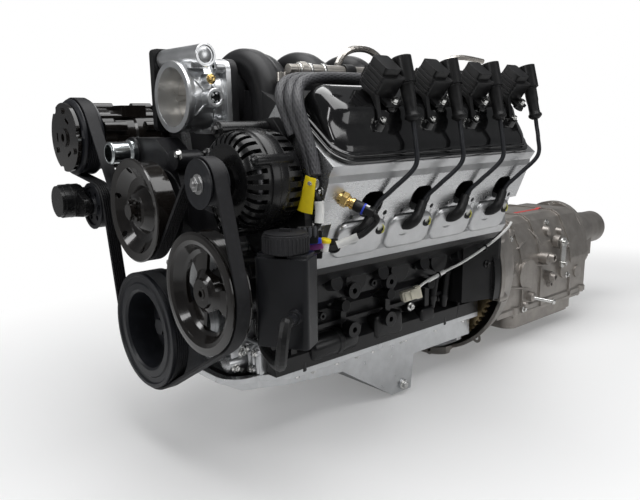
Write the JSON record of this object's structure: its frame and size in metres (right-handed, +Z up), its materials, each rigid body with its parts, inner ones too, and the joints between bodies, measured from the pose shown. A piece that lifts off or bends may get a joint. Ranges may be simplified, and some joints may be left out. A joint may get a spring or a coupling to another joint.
{
  "type": "v8 engine with gearbox",
  "caption": "V8 petrol engine with arched intake, coils on the valve covers and belt driven accessories in front, joined to an automatic gearbox.",
  "frame": {"origin": "centre of the crankshaft's nose, on the face with the puller holes", "axes": "+Y back along the crankshaft towards the gearbox, +X towards the engine's left bank (that of the alternator and the oil tank), +Z up"},
  "size_m": [0.6245, 1.5143, 0.6609],
  "materials": {
    "black_casting": "satin black paint over a sand casting",
    "machined_steel": "machined steel",
    "crank_steel": "forged steel with ground journals",
    "damper_black": "satin black paint, turned",
    "pulley_black": "gloss black paint",
    "cast_alloy": "sand cast aluminium with machined faces",
    "bright_alloy": "polished cast aluminium",
    "gearbox_alloy": "grey cast aluminium",
    "gloss_cover": "gloss black",
    "black_plastic": "grained black moulding",
    "black_satin": "satin black",
    "rubber_black": "matt black rubber",
    "braid": "woven black sleeve",
    "zinc": "zinc plated",
    "brass_edge": "stamped steel with a yellow tint",
    "gloss_brass": "brass disc in the throttle",
    "steel_tube": "drawn tube"
  },
  "bodies": {
    "body": {"engine_block": "black_casting", "main_caps": "machined_steel", "timing_chain": "machined_steel", "oil_pump": "cast_alloy", "timing_cover": "cast_alloy", "pistons": "cast_alloy", "cylinder_head_left": "cast_alloy", "cylinder_head_right": "cast_alloy", "valve_cover_left": "gloss_cover", "valve_cover_right": "gloss_cover", "rocker_arms": "machined_steel", "oil_pan": "cast_alloy", "valley_cover": "black_casting", "intake_manifold": "black_plastic", "throttle_body": "bright_alloy", "throttle_drive_cover": "black_plastic", "fuel_rails": "steel_tube", "injectors": "black_plastic", "water_pump": "black_casting", "coolant_neck": "bright_alloy", "alternator": "black_satin", "steering_pump": "black_casting", "steering_reservoir": "black_plastic", "steering_hose": "rubber_black", "compressor": "black_satin", "tensioner_base": "black_satin", "drive_belt": "rubber_black", "accessory_bracket": "black_casting", "compressor_bracket": "black_casting", "coils_left": "black_plastic", "coils_right": "black_plastic", "plug_leads_left": "rubber_black", "plug_leads_right": "rubber_black", "spark_plugs": "zinc", "wiring_loom": "braid", "cover_bolts": "zinc", "gearbox_case": "gearbox_alloy", "gearbox_tail": "gearbox_alloy", "gearbox_pan": "gearbox_alloy", "vent_pipes": "steel_tube", "pan_bolts": "zinc"},
    "crank": {"crankshaft": "crank_steel", "crank_damper": "damper_black", "crank_sprocket": "machined_steel", "flexplate": "brass_edge", "torque_converter": "black_satin"},
    "cam": {"camshaft": "crank_steel", "cam_sprocket": "machined_steel"},
    "water_pump_drive": {"water_pump_pulley": "pulley_black"},
    "alternator_rotor": {"alternator_pulley": "machined_steel"},
    "steering_drive": {"steering_pulley": "pulley_black"},
    "compressor_drive": {"compressor_pulley": "damper_black"},
    "compressor_hub": {"compressor_clutch": "damper_black"},
    "tensioner": {"tensioner_arm": "black_satin"},
    "tensioner_idler": {"tensioner_pulley": "damper_black"},
    "throttle": {"throttle_plate": "gloss_brass"},
    "shifter": {"shift_lever": "zinc"},
    "output": {"output_shaft": "machined_steel"},
    "reservoir_lid": {"reservoir_cap": "black_plastic"},
    "filler_lid": {"oil_filler_cap": "black_plastic"}
  },
  "joints": [
    {"name": "crank_spin", "type": "hinge", "parent": "body", "child": "crank", "pos_m": [0, 0, 0], "axis": [0, 1, 0], "continuous": true},
    {"name": "cam_spin", "type": "hinge", "parent": "body", "child": "cam", "pos_m": [0, 0.2, 0.1248], "axis": [0, 1, 0], "continuous": true},
    {"name": "water_pump_spin", "type": "hinge", "parent": "body", "child": "water_pump_drive", "pos_m": [0, 0, 0.1925], "axis": [0, 1, 0], "continuous": true},
    {"name": "alternator_spin", "type": "hinge", "parent": "body", "child": "alternator_rotor", "pos_m": [0.1854, 0, 0.2448], "axis": [0, 1, 0], "continuous": true},
    {"name": "steering_spin", "type": "hinge", "parent": "body", "child": "steering_drive", "pos_m": [0.1706, 0, 0.092], "axis": [0, 1, 0], "continuous": true},
    {"name": "compressor_spin", "type": "hinge", "parent": "body", "child": "compressor_drive", "pos_m": [-0.227, 0, 0.3], "axis": [0, 1, 0], "continuous": true},
    {"name": "clutch_spin", "type": "hinge", "parent": "body", "child": "compressor_hub", "pos_m": [-0.227, 0, 0.3], "axis": [0, 1, 0], "continuous": true},
    {"name": "tensioner_swing", "type": "hinge", "parent": "body", "child": "tensioner", "pos_m": [-0.214, -0.06, 0.192], "axis": [0, 1, 0], "range_deg": [0, 15]},
    {"name": "tensioner_pulley_spin", "type": "hinge", "parent": "tensioner", "child": "tensioner_idler", "pos_m": [-0.172, -0.03, 0.184], "axis": [0, 1, 0], "continuous": true},
    {"name": "throttle_turn", "type": "hinge", "parent": "body", "child": "throttle", "pos_m": [0, 0.069, 0.362], "axis": [1, 0, 0], "range_deg": [0, 80]},
    {"name": "shift_turn", "type": "hinge", "parent": "body", "child": "shifter", "pos_m": [0.128, 1.01728, 0.02], "axis": [1, 0, 0], "range_deg": [-25, 25]},
    {"name": "output_spin", "type": "hinge", "parent": "body", "child": "output", "pos_m": [0, 1.34528, 0], "axis": [0, 1, 0], "continuous": true},
    {"name": "reservoir_cap_turn", "type": "hinge", "parent": "body", "child": "reservoir_lid", "pos_m": [0.262, 0.043, 0.158], "axis": [0, 0, 1], "range_deg": [0, 270]},
    {"name": "filler_cap_turn", "type": "hinge", "parent": "body", "child": "filler_lid", "pos_m": [-0.23825, 0.19, 0.3638], "axis": [-0.6053, 0, 0.796], "range_deg": [0, 90]}
  ],
  "couplings": [
    {"joint": "cam_spin", "follows": "crank_spin", "ratio": 0.5},
    {"joint": "water_pump_spin", "follows": "crank_spin", "ratio": -1.2606},
    {"joint": "alternator_spin", "follows": "crank_spin", "ratio": 2.8667},
    {"joint": "steering_spin", "follows": "crank_spin", "ratio": 1.1026},
    {"joint": "compressor_spin", "follows": "crank_spin", "ratio": 1.4715},
    {"joint": "tensioner_pulley_spin", "follows": "crank_spin", "ratio": -2.3742}
  ]
}
